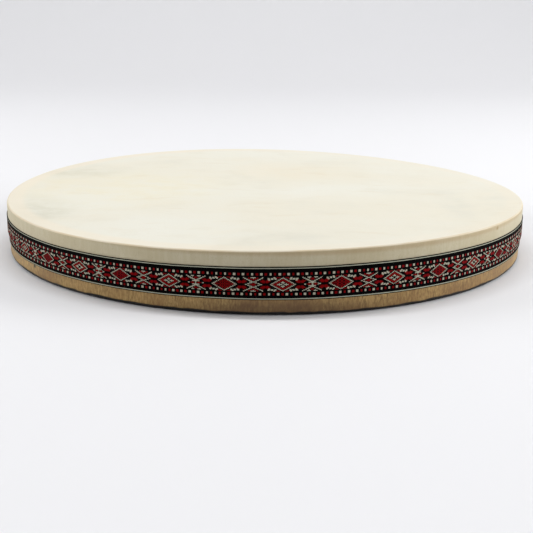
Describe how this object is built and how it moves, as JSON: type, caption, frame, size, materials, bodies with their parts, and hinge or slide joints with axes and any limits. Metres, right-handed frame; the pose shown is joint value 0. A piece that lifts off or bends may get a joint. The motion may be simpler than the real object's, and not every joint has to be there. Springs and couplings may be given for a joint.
{
  "type": "frame drum",
  "caption": "Shallow round single-headed frame drum: laminated wooden hoop, tacked goat skin head and a patterned woven ribbon round its side.",
  "frame": {"origin": "middle of the ring that the hoop stands on, at the bottom of the drum", "axes": "+Z along the drum's axis, up through the skin; -Y is the side without joints in the plywood or the ribbon"},
  "size_m": [0.5018, 0.5018, 0.05],
  "materials": {
    "plywood": "bare, sanded, oiled",
    "goat_skin": "scraped rawhide, matt, slightly translucent",
    "tack_steel": "plain cut tack",
    "woven_ribbon": "jacquard weave, black with red and white"
  },
  "bodies": {
    "root": {"shell_outer_ply": "plywood", "shell_middle_ply": "plywood", "shell_inner_ply": "plywood", "drumhead": "goat_skin", "head_tacks": "tack_steel", "ribbon": "woven_ribbon"}
  },
  "joints": []
}
